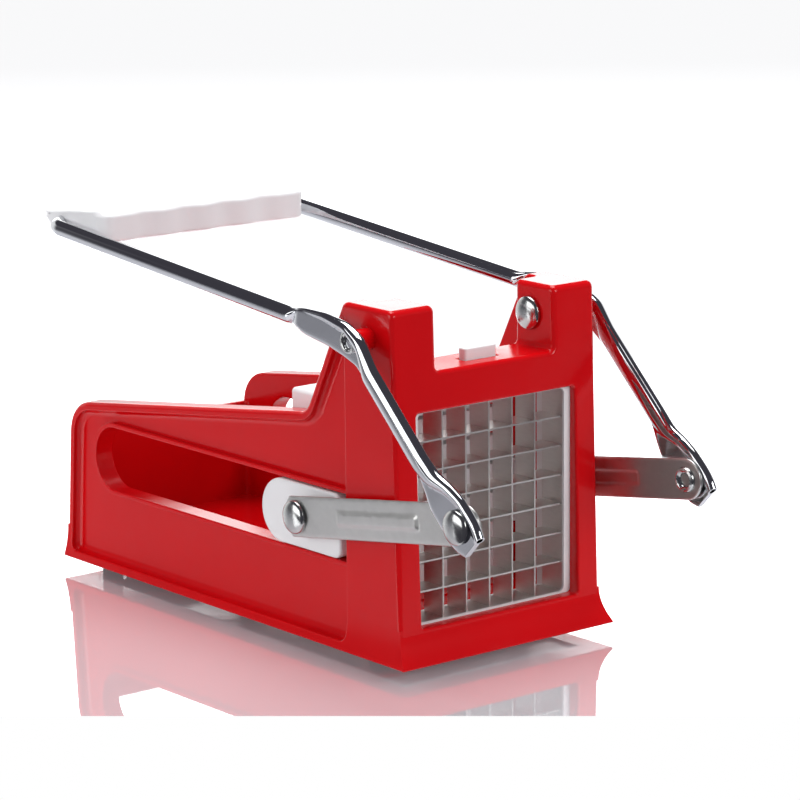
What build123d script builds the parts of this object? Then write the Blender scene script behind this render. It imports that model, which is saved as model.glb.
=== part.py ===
"""French fry cutter: a one-piece moulded body, a pusher drawn along two side slots by a
rod handle and a pair of flat links, and a drop-out cassette of crossed steel blades.

Units are millimetres. X is the width, +Y runs from the cutting window to the rear,
+Z is up, and the origin is on the table under the middle of the whole object.
"""

import os
from math import asin, cos, radians, sin, tan

from build123d import *

os.makedirs("parts", exist_ok=True)

# ---------------------------------------------------------------- driving dimensions
CRANK_NOSE = 52.8           # how far the crank ends stand in front of the front face
GRIP_BACK = 214.0           # rear edge of the grip, behind the front face
FRONT_Y = (CRANK_NOSE - GRIP_BACK) / 2          # front face, with the origin in the middle
FOOT_HEIGHT = 4.5

BODY_LENGTH = 204.6         # front face to rear face, at the base
POST_HALF_WIDTH = 46.0
TOWER_TOP = 128.5
CHAMBER_HALF_WIDTH = 37.0   # inner face of the side webs
SKIN = 2.5
RIM = 3.2                   # thickness of the flange that runs round each side
BOTTOM_FLANGE = 2.6

COLUMNS, ROWS = 6, 7
CELL = 10.6                 # pitch of the blades
BLADE_THICKNESS = 0.6
WINDOW_TOP = 92.0

LINK_INNER = 49.7           # the link's inner face; its plate is LINK_THICKNESS thick
LINK_THICKNESS = 1.3
ARM_INNER = 51.9            # the arm's inner face
ARM_THICKNESS = 2.4
ROD_RADIUS = 3.0
ROD_X = 52.2

RIVET_RADIUS = 2.9
RIVET_HEAD_RADIUS = 6.0
RIVET_HEAD_HEIGHT = 2.8
RUNNING_GAP = 0.08          # radial play of a rivet in a moving part

THROUGH = 60.0              # depth of a cut that runs out of the part on both sides
SOFT_EDGE = 1.0             # rounding of the edges that a hand meets
FINE_EDGE = 0.5             # rounding of narrow lips


# ---------------------------------------------------------------- small shared helpers
def at(y_from_front):
    """Y of a point that lies this far behind the foot of the front face."""
    return FRONT_Y + y_from_front


def side_plane(x):
    """A sketch plane across the width: its local x is Y and its local y is Z."""
    return Plane.YZ.offset(x)


def front_plane(y):
    """A sketch plane across the length: its local x is X and its local y is Z."""
    return Plane(origin=(0, y, 0), x_dir=(1, 0, 0), z_dir=(0, -1, 0))


def lying_in(part, axis, place):
    """Edges of a part that lie in the plane where this axis has this value."""
    low, high = place - 0.02, place + 0.02
    near = part.edges().filter_by_position(axis, low, high)
    return near.filter_by(
        lambda edge: all(low < axis.direction.dot(v.center()) < high for v in edge.vertices())
    )


def save(piece, name):
    """Label a finished piece and write it as its own STEP file."""
    piece.part.label = name
    export_step(piece.part, f"parts/{name}.step")
    print(f"{name:24s} {piece.part.volume / 1000:8.2f} cm3")


PIVOT = (at(16.3), 117.6)                       # handle pivot, in the towers
CRANK = (at(-40.0), 63.5)                       # rivet that joins arm and link
PUSH = (at(51.9), 49.4)                         # pin that joins link and slide

# ---------------------------------------------------------------- body
# Gloss ABS, injection-moulded in one: a portal with two towers in front, and a trough
# behind it whose webs are stiffened by a flange round each side.
FRONT_DRAFT = 3.8           # the front face leans back by this much at the tower tops
REAR_LEAN = 4.4             # and the rear face leans forward by this much
EDGE_ROUND = 1.6
SHOULDER = (at(52.3), 86.3)                     # where a side's top edge meets its tower
REAR_TOP = (at(BODY_LENGTH - REAR_LEAN), 66.2)
TOWER_FRONT, TOWER_BACK = (at(FRONT_DRAFT), TOWER_TOP), (at(30.5), TOWER_TOP)
OUTLINE_ROUNDS = ((REAR_TOP, 14.0), (SHOULDER, 8.0), (TOWER_BACK, 3.0), (TOWER_FRONT, 2.4))
POST_BACK = at(30.0)
TOWER_BOX_BACK = at(24.0)
TOWER_INNER = 26.8
BAR_TOP = 105.7
FLOOR_TOP = 17.0
REAR_WALL_TOP = 55.0
REAR_INNER = at(198.2)
TROUGH_CORNER = 2.0
GAP_EDGE = 1.8

SKIRT_TOP = 17.5
SKIRT_FRONT = 4.9           # how far the skirt stands out at the front and the rear
SKIRT_REAR = 1.2
SKIRT_SIDES = (2.8, 0.8)    # and at the sides, by the front corners and by the rear ones
SKIRT_STEPS = (0.0, 0.35, 0.7, 1.0)
SKIRT_ROOT = (0.5, 1.0)     # the skirt starts this far inside the front and rear faces

WINDOW_HALF = 36.2
WINDOW_LOW = 16.5
WINDOW_CORNER = 1.5
WINDOW_EDGE = 0.8
POCKET_HALF = 40.2
POCKET_FRONT, POCKET_BACK = at(5.2), at(21.2)
POCKET_TOP = 99.9
TAB_SLOT = (15.4, 5.0)
TAB_Y = at(13.2)

SLOT_FRONT, SLOT_REAR = POST_BACK, at(184.4)
SLOT_LOW, SLOT_HIGH = 36.0, 60.3
SLOT_END_RADIUS = 11.8
WEB_FACE = 42.8             # outer face of the webs, set back from the flanges
COLLAR = 1.8                # width of the lip round each slot
COLLAR_FACE = 45.2
COVE = 2.6                  # radius where a web runs out into its flange
WEB_CORNER = 3.0
BOSS_RADIUS = 3.9

FOOT_RADIUS = 3.9
FOOT_PEG_RADIUS = 1.6
FOOT_PEG_LENGTH = 5.0
FOOT_EDGE = 0.8
FOOT_BOSS_RADIUS = 5.2      # the bosses run into the corners of the side and end walls
FOOT_SPOTS = {
    "foot_front_left": (-32.4, at(28.6)),
    "foot_front_right": (32.4, at(28.6)),
    "foot_rear_left": (-32.4, at(193.6)),
    "foot_rear_right": (32.4, at(193.6)),
}


def side_outline(shrink=0.0):
    """The body's side view; shrink moves its edges inwards."""
    with BuildSketch() as outline:
        with BuildLine():
            Polyline(
                (at(0.0), FOOT_HEIGHT),
                TOWER_FRONT,
                TOWER_BACK,
                SHOULDER,
                REAR_TOP,
                (at(BODY_LENGTH), FOOT_HEIGHT),
                close=True,
            )
        make_face()
        for corner, radius in OUTLINE_ROUNDS:
            fillet(outline.vertices().sort_by_distance(corner)[0], radius)
        if shrink:
            offset(amount=-shrink)
    return outline.sketch_local


def slot_outline(grow=0.0):
    """A side slot: square at the post and round at its rear end."""
    middle = ((SLOT_FRONT + SLOT_REAR) / 2, (SLOT_LOW + SLOT_HIGH) / 2)
    with BuildSketch() as outline:
        with Locations(middle):
            Rectangle(SLOT_REAR - SLOT_FRONT, SLOT_HIGH - SLOT_LOW)
        fillet(outline.vertices().group_by(Axis.X)[-1], SLOT_END_RADIUS)
        if grow:
            offset(amount=grow)
            with Locations((SLOT_FRONT - 25.0, middle[1])):
                Rectangle(50.0, 60.0, mode=Mode.SUBTRACT)
    return outline.sketch_local


def skirt_plan(flare):
    """The skirt's plan: flare goes from 0 at its root to 1 at its lower edge."""
    front = at(SKIRT_ROOT[0] - flare * (SKIRT_ROOT[0] + SKIRT_FRONT))
    rear = at(BODY_LENGTH - SKIRT_ROOT[1] + flare * (SKIRT_ROOT[1] + SKIRT_REAR))
    front_half, rear_half = (POST_HALF_WIDTH + flare * side for side in SKIRT_SIDES)
    with BuildSketch() as plan:
        with BuildLine():
            Polyline(
                (-front_half, front),
                (front_half, front),
                (rear_half, rear),
                (-rear_half, rear),
                close=True,
            )
        make_face()
    return plan.sketch_local


with BuildPart() as body:
    with BuildSketch(Plane.YZ):
        add(side_outline())
    extrude(amount=POST_HALF_WIDTH, both=True)
    side_faces = body.faces().filter_by(Axis.X)
    fillet(side_faces.edges(), EDGE_ROUND)

    # Skirt: it flares outwards in a hollow curve, most of all in front.
    body_middle = at(BODY_LENGTH / 2)
    for step in SKIRT_STEPS:
        with BuildSketch(Plane.XY.offset(SKIRT_TOP - step * (SKIRT_TOP - FOOT_HEIGHT))):
            add(skirt_plan(step**2))
    loft()

    # Potato trough, open at the top; its rear wall is lower than its sides.
    with BuildSketch(Plane.XY.offset(FLOOR_TOP)):
        with Locations((0, (TOWER_BOX_BACK + REAR_INNER) / 2)):
            RectangleRounded(2 * CHAMBER_HALF_WIDTH, REAR_INNER - TOWER_BOX_BACK, TROUGH_CORNER)
    extrude(amount=TOWER_TOP, mode=Mode.SUBTRACT)
    with BuildSketch(front_plane(REAR_INNER)):
        with Locations((0, REAR_WALL_TOP + 40.0)):
            Rectangle(2 * CHAMBER_HALF_WIDTH, 80.0)
    extrude(amount=THROUGH / 3, both=True, mode=Mode.SUBTRACT)

    # Gap between the towers, above the crossbar.
    with BuildSketch(front_plane(at(10.0))):
        with Locations((0, BAR_TOP + 50.0)):
            RectangleRounded(2 * TOWER_INNER, 100.0, TROUGH_CORNER)
    extrude(amount=THROUGH / 3, both=True, mode=Mode.SUBTRACT)

    # The web of each side is set back from the flange and the post, and coved into them.
    for hand in (-1, 1):
        with BuildSketch(side_plane(hand * WEB_FACE)) as recess:
            add(side_outline(RIM))
            with Locations((at(0.0), 60.0)):
                Rectangle(2 * (POST_BACK - at(0.0)), 160.0, mode=Mode.SUBTRACT)
            with Locations((body_middle, FOOT_HEIGHT)):
                Rectangle(300.0, 2 * BOTTOM_FLANGE, mode=Mode.SUBTRACT)
            fillet(recess.vertices().group_by(Axis.Y)[0], WEB_CORNER)
        extrude(amount=hand * THROUGH, mode=Mode.SUBTRACT)
        fillet(lying_in(body, Axis.X, hand * WEB_FACE), COVE)

    # A low lip runs round each slot.
    for hand in (-1, 1):
        with BuildSketch(side_plane(hand * CHAMBER_HALF_WIDTH)):
            add(slot_outline(COLLAR))
        extrude(amount=hand * (COLLAR_FACE - CHAMBER_HALF_WIDTH))
    with BuildSketch(Plane.YZ):
        add(slot_outline())
    extrude(amount=THROUGH, both=True, mode=Mode.SUBTRACT)

    # Underside: hollow below the trough, with a pocket for the cassette in front.
    with BuildSketch(Plane.XY.offset(FLOOR_TOP - SKIN)):
        with Locations((0, (TOWER_BOX_BACK + REAR_INNER) / 2)):
            RectangleRounded(2 * CHAMBER_HALF_WIDTH, REAR_INNER - TOWER_BOX_BACK, TROUGH_CORNER)
    extrude(amount=-30.0, mode=Mode.SUBTRACT)
    with BuildSketch(Plane.XY.offset(POCKET_TOP)):
        with Locations((0, (POCKET_FRONT + POCKET_BACK) / 2)):
            Rectangle(2 * POCKET_HALF, POCKET_BACK - POCKET_FRONT)
    extrude(amount=-120.0, mode=Mode.SUBTRACT)
    with BuildSketch(Plane.XY.offset(BAR_TOP + 5.0)):
        with Locations((0, TAB_Y)):
            Rectangle(*TAB_SLOT)
    extrude(amount=-12.0, mode=Mode.SUBTRACT)

    # Cutting window through the front plate, and the mouth behind the cassette.
    with BuildSketch(front_plane(at(0.0))):
        with Locations((0, (WINDOW_LOW + WINDOW_TOP) / 2)):
            RectangleRounded(2 * WINDOW_HALF, WINDOW_TOP - WINDOW_LOW, WINDOW_CORNER)
    extrude(amount=THROUGH / 2, both=True, mode=Mode.SUBTRACT)

    # Pivot bosses on the outer faces of the towers, bored for the rivets.
    for hand in (-1, 1):
        with BuildSketch(side_plane(hand * (POST_HALF_WIDTH - 1.0))):
            with Locations(PIVOT):
                Circle(BOSS_RADIUS)
        extrude(amount=hand * (ARM_INNER - 0.1 - POST_HALF_WIDTH + 1.0))
    with BuildSketch(Plane.YZ):
        with Locations(PIVOT):
            Circle(RIVET_RADIUS)
    extrude(amount=THROUGH, both=True, mode=Mode.SUBTRACT)

    # The edges that a hand meets are rounded.
    trough_rims = ShapeList()
    for hand in (-1, 1):
        wall_edges = lying_in(body, Axis.X, hand * CHAMBER_HALF_WIDTH)
        wall_edges = wall_edges.filter_by_position(Axis.Z, SLOT_HIGH + 1.0, TOWER_TOP + 1.0)
        trough_rims += wall_edges.filter_by_position(Axis.Y, TOWER_BOX_BACK + 4.0, REAR_INNER)
    fillet(trough_rims, SOFT_EDGE)
    gap_edges = body.edges().filter_by_position(Axis.X, -TOWER_INNER - 0.2, TOWER_INNER + 0.2)
    gap_edges = gap_edges.filter_by_position(Axis.Z, BAR_TOP - 0.2, TOWER_TOP - 0.5)
    fillet(gap_edges.filter_by_position(Axis.Y, at(0.0), at(4.5)), GAP_EDGE)
    window_edges = body.edges().filter_by_position(Axis.X, -WINDOW_HALF - 0.2, WINDOW_HALF + 0.2)
    window_edges = window_edges.filter_by_position(Axis.Z, WINDOW_LOW - 0.2, WINDOW_TOP + 0.2)
    fillet(window_edges.filter_by_position(Axis.Y, at(0.0), at(3.0)), WINDOW_EDGE)
    for hand in (-1, 1):
        lip_edges = lying_in(body, Axis.X, hand * COLLAR_FACE)
        lip_edges = lip_edges.filter_by_position(Axis.Z, SLOT_LOW - 0.1, SLOT_HIGH + 0.1)
        fillet(lip_edges.filter_by_position(Axis.Y, SLOT_FRONT + 2.0, SLOT_REAR + 0.1), FINE_EDGE)
        tunnel_edges = lying_in(body, Axis.X, hand * CHAMBER_HALF_WIDTH)
        tunnel_edges = tunnel_edges.filter_by_position(Axis.Z, SLOT_LOW - 0.1, SLOT_HIGH + 0.1)
        fillet(tunnel_edges.filter_by_position(Axis.Y, SLOT_FRONT - 0.1, SLOT_REAR + 0.1), WINDOW_EDGE)
    for hand in (-1, 1):
        flange_edges = lying_in(body, Axis.X, hand * POST_HALF_WIDTH)
        flange_edges = flange_edges.filter_by_position(Axis.Y, POST_BACK - 0.1, REAR_TOP[0] + 2.0)
        fillet(flange_edges, FINE_EDGE)
    skirt_edges = lying_in(body, Axis.Z, FOOT_HEIGHT)
    skirt_rim = skirt_edges.group_by(Axis.X)[0] + skirt_edges.group_by(Axis.X)[-1]
    skirt_rim += skirt_edges.group_by(Axis.Y)[0] + skirt_edges.group_by(Axis.Y)[-1]
    fillet(skirt_rim, FINE_EDGE)
    tab_edges = lying_in(body, Axis.Z, BAR_TOP).filter_by_position(Axis.X, -10.0, 10.0)
    fillet(tab_edges.filter_by_position(Axis.Y, TAB_Y - 3.0, TAB_Y + 3.0), FINE_EDGE)
    rear_edges = lying_in(body, Axis.Z, REAR_WALL_TOP).filter_by_position(Axis.X, -1.0, 1.0)
    fillet(rear_edges.sort_by(Axis.Y)[0], SOFT_EDGE)

    # Bosses in the corners of the hollow underside, with peg holes for the feet.
    with BuildSketch(Plane.XY.offset(FOOT_HEIGHT)):
        for spot in FOOT_SPOTS.values():
            with Locations(spot):
                Circle(FOOT_BOSS_RADIUS)
    extrude(amount=FLOOR_TOP - 1.0 - FOOT_HEIGHT)
    with BuildSketch(Plane.XY.offset(FOOT_HEIGHT)):
        for spot in FOOT_SPOTS.values():
            with Locations(spot):
                Circle(FOOT_PEG_RADIUS)
    extrude(amount=FOOT_PEG_LENGTH, mode=Mode.SUBTRACT)

save(body, "body")

# ---------------------------------------------------------------- feet
# Soft rubber buttons, each held by a peg pushed up into the base.
for name, spot in FOOT_SPOTS.items():
    with BuildPart() as foot:
        with BuildSketch(Plane.XY):
            with Locations(spot):
                Circle(FOOT_RADIUS)
        extrude(amount=FOOT_HEIGHT)
        fillet(foot.faces().sort_by(Axis.Z)[0].edges(), FOOT_EDGE)
        with BuildSketch(Plane.XY.offset(FOOT_HEIGHT)):
            with Locations(spot):
                Circle(FOOT_PEG_RADIUS)
        extrude(amount=FOOT_PEG_LENGTH - 0.5)
    save(foot, name)

# ---------------------------------------------------------------- cassette frame
# White plastic surround of the blades. It is pushed up into the portal from below, and
# its thumb tab comes through the crossbar, where it is pressed to release the cassette.
FRAME_FIT = 0.2
FRAME_BOTTOM = 5.5
FRAME_TOP = POCKET_TOP - FRAME_FIT
FRAME_HALF = POCKET_HALF - FRAME_FIT
FRAME_FRONT, FRAME_BACK = POCKET_FRONT + FRAME_FIT, POCKET_BACK - FRAME_FIT
BAND_THICKNESS = 0.8
MESH_HALF = 33.5            # clear half width between the band's side walls
MESH_TOP = 91.3
MESH_BOTTOM = MESH_TOP - ROWS * CELL
BAND_FRONT = at(6.4)
BLADE_FRONT, BLADE_BACK = at(7.0), at(17.2)
TAB = (14.4, 4.0)
TAB_TOP = BAR_TOP + 4.0
MESH_MIDDLE = (MESH_TOP + MESH_BOTTOM) / 2
MESH_CORNER = 2.0

with BuildPart() as cassette_frame:
    with BuildSketch(front_plane(FRAME_FRONT)):
        with Locations((0, (FRAME_TOP + FRAME_BOTTOM) / 2)):
            Rectangle(2 * FRAME_HALF, FRAME_TOP - FRAME_BOTTOM)
        with Locations((0, MESH_MIDDLE)):
            RectangleRounded(
                2 * MESH_HALF, MESH_TOP - MESH_BOTTOM, MESH_CORNER, mode=Mode.SUBTRACT
            )
    extrude(amount=FRAME_FRONT - FRAME_BACK)
    with BuildSketch(front_plane(BAND_FRONT)):
        with Locations((0, MESH_MIDDLE)):
            Rectangle(
                2 * (MESH_HALF + BAND_THICKNESS),
                MESH_TOP - MESH_BOTTOM + 2 * BAND_THICKNESS,
            )
    extrude(amount=BAND_FRONT - FRAME_BACK - 1.0, mode=Mode.SUBTRACT)
    with BuildSketch(Plane.XY.offset(FRAME_TOP - 1.0)):
        with Locations((0, TAB_Y)):
            RectangleRounded(*TAB, SOFT_EDGE)
    extrude(amount=TAB_TOP - FRAME_TOP + 1.0)
    fillet(cassette_frame.faces().sort_by(Axis.Z)[-1].edges(), FINE_EDGE)
save(cassette_frame, "cassette_frame")

# ---------------------------------------------------------------- blade band
# Stainless strip bent round the blades; their end tabs sit in its slots.
BLADE_TAB = 5.0             # length of an end tab along Y
BLADE_MIDDLE = (BLADE_FRONT + BLADE_BACK) / 2
BLADE_DEPTH = BLADE_BACK - BLADE_FRONT
UPRIGHTS = [CELL * (i - COLUMNS / 2 + 1) for i in range(COLUMNS - 1)]
CROSSERS = [MESH_BOTTOM + CELL * (i + 1) for i in range(ROWS - 1)]

with BuildPart() as blade_band:
    with BuildSketch(front_plane(BAND_FRONT)):
        with Locations((0, MESH_MIDDLE)):
            Rectangle(
                2 * (MESH_HALF + BAND_THICKNESS),
                MESH_TOP - MESH_BOTTOM + 2 * BAND_THICKNESS,
            )
            Rectangle(2 * MESH_HALF, MESH_TOP - MESH_BOTTOM, mode=Mode.SUBTRACT)
    extrude(amount=BAND_FRONT - BLADE_BACK)
    with BuildSketch(front_plane(BLADE_MIDDLE)):
        for x in UPRIGHTS:
            with Locations((x, MESH_MIDDLE)):
                Rectangle(BLADE_THICKNESS, 100.0)
        for z in CROSSERS:
            with Locations((0, z)):
                Rectangle(100.0, BLADE_THICKNESS)
    extrude(amount=BLADE_TAB / 2, both=True, mode=Mode.SUBTRACT)
save(blade_band, "blade_band")

# ---------------------------------------------------------------- blades
# Stainless strips 0.6 mm thick, halved into one another where they cross: the uprights
# are notched from behind and the cross blades from the front.
NOTCH = BLADE_THICKNESS + 0.06


def blade_profile(half_length):
    """Half of a blade's flat outline, seen on its face: length along x, depth along y."""
    reach = half_length + BAND_THICKNESS
    with BuildSketch() as profile:
        Rectangle(2 * half_length, BLADE_DEPTH)
        Rectangle(2 * reach, BLADE_TAB)
    return profile.sketch_local


for number, x in enumerate(UPRIGHTS, start=1):
    upright_plane = Plane(origin=(x, BLADE_MIDDLE, MESH_MIDDLE), x_dir=(0, 0, 1), z_dir=(1, 0, 0))
    with BuildPart() as blade:
        with BuildSketch(upright_plane):
            add(blade_profile((MESH_TOP - MESH_BOTTOM) / 2))
            for z in CROSSERS:
                with Locations((z - MESH_MIDDLE, -BLADE_DEPTH / 2)):
                    Rectangle(NOTCH, BLADE_DEPTH, mode=Mode.SUBTRACT)
        extrude(amount=BLADE_THICKNESS / 2, both=True)
    save(blade, f"blade_upright_{number}")

for number, z in enumerate(CROSSERS, start=1):
    with BuildPart() as blade:
        with BuildSketch(Plane(origin=(0, BLADE_MIDDLE, z))):
            add(blade_profile(MESH_HALF))
            for x in UPRIGHTS:
                with Locations((x, -BLADE_DEPTH / 2)):
                    Rectangle(NOTCH, BLADE_DEPTH, mode=Mode.SUBTRACT)
        extrude(amount=BLADE_THICKNESS / 2, both=True)
    save(blade, f"blade_cross_{number}")

# ---------------------------------------------------------------- pusher
# White plastic. A plate as tall as the blades, with one stud for each cell in front, and
# a cheek on each side that the slides are pinned to.
STUD = 9.0
STUD_CORNER = 1.0
STUD_TIP = at(38.0)
PLATE_FRONT, PLATE_BACK = at(57.4), at(60.4)
PUSHER_HALF = 36.2
PUSHER_LOW, PUSHER_TOP = FLOOR_TOP + 0.5, 90.5
CHEEK = 2.8
CHEEK_BACK = at(77.6)
CHEEK_LOW, CHEEK_HIGH = 33.0, 66.0
CHEEK_CORNER = 3.0
PLATE_CORNER = 1.5
BACK_RIB = 2.0
PUSHER_FLANGE = 12.0        # depth of the flange round the back of the plate
OUTER_COLUMN = (UPRIGHTS[-1] + MESH_HALF) / 2
COLUMN_CENTRES = [-OUTER_COLUMN, *(x + CELL / 2 for x in UPRIGHTS[:-1]), OUTER_COLUMN]
ROW_CENTRES = [MESH_BOTTOM + CELL * (i + 0.5) for i in range(ROWS)]

with BuildPart() as pusher:
    with BuildSketch(front_plane(PLATE_FRONT)):
        with Locations((0, (PUSHER_LOW + PUSHER_TOP) / 2)):
            RectangleRounded(2 * PUSHER_HALF, PUSHER_TOP - PUSHER_LOW, PLATE_CORNER)
    extrude(amount=PLATE_FRONT - PLATE_BACK)
    with BuildSketch(front_plane(PLATE_BACK)):
        with Locations((0, (PUSHER_LOW + PUSHER_TOP) / 2)):
            RectangleRounded(2 * PUSHER_HALF, PUSHER_TOP - PUSHER_LOW, PLATE_CORNER)
            Rectangle(
                2 * (PUSHER_HALF - CHEEK),
                PUSHER_TOP - PUSHER_LOW - 2 * CHEEK,
                mode=Mode.SUBTRACT,
            )
    extrude(amount=-PUSHER_FLANGE)
    with BuildSketch(front_plane(PLATE_BACK)):
        for z in ROW_CENTRES[1::2]:
            with Locations((0, z)):
                Rectangle(2 * PUSHER_HALF - CHEEK, BACK_RIB)
    extrude(amount=-PUSHER_FLANGE / 2)
    for hand in (-1, 1):
        with BuildSketch(side_plane(hand * (PUSHER_HALF - CHEEK))):
            with Locations(((STUD_TIP + CHEEK_BACK) / 2, (CHEEK_LOW + CHEEK_HIGH) / 2)):
                RectangleRounded(CHEEK_BACK - STUD_TIP, CHEEK_HIGH - CHEEK_LOW, CHEEK_CORNER)
        extrude(amount=hand * CHEEK)
    with BuildSketch(front_plane(PLATE_FRONT)):
        for x in COLUMN_CENTRES:
            for z in ROW_CENTRES:
                with Locations((x, z)):
                    RectangleRounded(STUD, STUD, STUD_CORNER)
    extrude(amount=PLATE_FRONT - STUD_TIP)
    for hand in (-1, 1):
        with BuildSketch(side_plane(hand * (PUSHER_HALF - CHEEK))):
            with Locations(PUSH):
                Circle(RIVET_RADIUS)
        extrude(amount=hand * CHEEK, mode=Mode.SUBTRACT)
save(pusher, "pusher")

# ---------------------------------------------------------------- slides
# White plastic shoes that run in the side slots. They are pinned on from outside,
# because the pusher has to go into the trough before anything fills the slots.
SLIDE_PLAY = 0.5
SLIDE_FRONT, SLIDE_BACK = at(33.0), at(78.5)
SLIDE_FACE = 46.2
SLIDE_LOW, SLIDE_HIGH = SLOT_LOW + SLIDE_PLAY, SLOT_HIGH - SLIDE_PLAY
SLIDE_BOSS_RADIUS = 6.4
SLIDE_FRONT_CORNER, SLIDE_BACK_CORNER = 4.0, 11.6

for side, hand in (("left", -1), ("right", 1)):
    with BuildPart() as slide:
        with BuildSketch(side_plane(hand * PUSHER_HALF)) as slide_outline:
            with Locations(((SLIDE_FRONT + SLIDE_BACK) / 2, (SLIDE_LOW + SLIDE_HIGH) / 2)):
                Rectangle(SLIDE_BACK - SLIDE_FRONT, SLIDE_HIGH - SLIDE_LOW)
            fillet(slide_outline.vertices().group_by(Axis.X)[0], SLIDE_FRONT_CORNER)
            fillet(slide_outline.vertices().group_by(Axis.X)[-1], SLIDE_BACK_CORNER)
        extrude(amount=hand * (SLIDE_FACE - PUSHER_HALF))
        fillet(lying_in(slide, Axis.X, hand * SLIDE_FACE), SOFT_EDGE)
        with BuildSketch(side_plane(hand * (SLIDE_FACE - 1.0))):
            with Locations(PUSH):
                Circle(SLIDE_BOSS_RADIUS)
        extrude(amount=hand * (LINK_INNER - 0.1 - SLIDE_FACE + 1.0))
        with BuildSketch(Plane.YZ):
            with Locations(PUSH):
                Circle(RIVET_RADIUS)
        extrude(amount=THROUGH, both=True, mode=Mode.SUBTRACT)
    save(slide, f"slide_{side}")

# ---------------------------------------------------------------- links
# Zinc-plated flats with a rib pressed along the middle. The front eye is left open to the
# crank, and the rear eye turns on the push pin.
LINK_WIDTH = 14.7
LINK_TAIL = 6.2             # metal behind the push pin
LINK_CLIP = 3.2
LINK_RIB = (44.0, 5.0, 0.6)  # length, width and height of the pressed rib
LINK_RIB_CORNER = 2.2
LINK_RIB_MIDDLE = 46.0      # from the push pin, towards the crank
LINK_SPAN = ((PUSH[0] - CRANK[0]) ** 2 + (PUSH[1] - CRANK[1]) ** 2) ** 0.5
LINK_FACE = LINK_INNER + LINK_THICKNESS
link_way = Vector(0, CRANK[0] - PUSH[0], CRANK[1] - PUSH[1]).normalized()


def link_plane(x, hand):
    """Plane on the link: local x runs from the push pin towards the crank."""
    return Plane(origin=(hand * x, *PUSH), x_dir=link_way, z_dir=(hand, 0, 0))


for side, hand in (("left", -1), ("right", 1)):
    with BuildPart() as link:
        with BuildSketch(link_plane(LINK_INNER, hand)) as link_outline:
            with Locations(((LINK_SPAN - LINK_TAIL) / 2, 0)):
                Rectangle(LINK_SPAN + LINK_TAIL, LINK_WIDTH)
            with Locations((LINK_SPAN, 0)):
                Circle(LINK_WIDTH / 2)
        extrude(amount=LINK_THICKNESS)
        tail_corners = link.edges().filter_by(Axis.X).group_by(Axis.Y)[-1]
        chamfer(tail_corners, LINK_CLIP)
        with BuildSketch(link_plane(LINK_FACE, hand)):
            with Locations((LINK_RIB_MIDDLE, 0)):
                RectangleRounded(LINK_RIB[0], LINK_RIB[1], LINK_RIB_CORNER)
        extrude(amount=LINK_RIB[2])
        with BuildSketch(Plane.YZ):
            with Locations(PUSH, CRANK):
                Circle(RIVET_RADIUS + RUNNING_GAP)
        extrude(amount=THROUGH, both=True, mode=Mode.SUBTRACT)
    save(link, f"link_{side}")

# ---------------------------------------------------------------- rivets
# Plated steel, each with a domed head outside and a small closed head inside. Their
# sections are drawn with x along the rivet, outwards from the middle, and y its radius.
ARM_FACE = ARM_INNER + ARM_THICKNESS
HEAD_GAP = 0.1
HEAD_RIM = 0.6              # straight edge of a head, below its dome
TAIL_RADIUS = 4.6
TAIL_RIM = 0.4
TAIL_DOME = 1.0
RING_RADIUS = 4.1
RING_HEIGHT = 1.2
RING_BORE = 2.1
RING_BORE_DEPTH = 6.0


def axis_plane(centre, hand):
    """The plane through a rivet's axis: local x points outwards on that side."""
    return Plane(origin=(0, *centre), x_dir=(hand, 0, 0), z_dir=(0, -hand, 0))


def cap(start, height, way):
    """A spherical cap's half section, from its rim at start to its tip on the axis."""
    rim_x, radius = start
    sphere = (radius**2 + height**2) / (2 * height)
    half_angle = asin(radius / sphere) / 2
    middle_x = rim_x + way * (height - sphere * (1 - cos(half_angle)))
    return ThreePointArc(start, (middle_x, sphere * sin(half_angle)), (rim_x + way * height, 0))


def half_section(shoulders, tail_dome=0.0, head_dome=0.0):
    """Half section of a rivet: its shoulders, from tail to head, and a dome at each end."""
    tail, head = shoulders[0], shoulders[-1]
    with BuildSketch() as section:
        with BuildLine():
            Polyline(*shoulders)
            if head_dome:
                add(cap(head, head_dome, 1))
            else:
                Line(head, (head[0], 0))
            if tail_dome:
                add(cap(tail, tail_dome, -1))
            else:
                Line(tail, (tail[0], 0))
            Line((tail[0] - tail_dome, 0), (head[0] + head_dome, 0))
        make_face()
    return section.sketch_local


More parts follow.
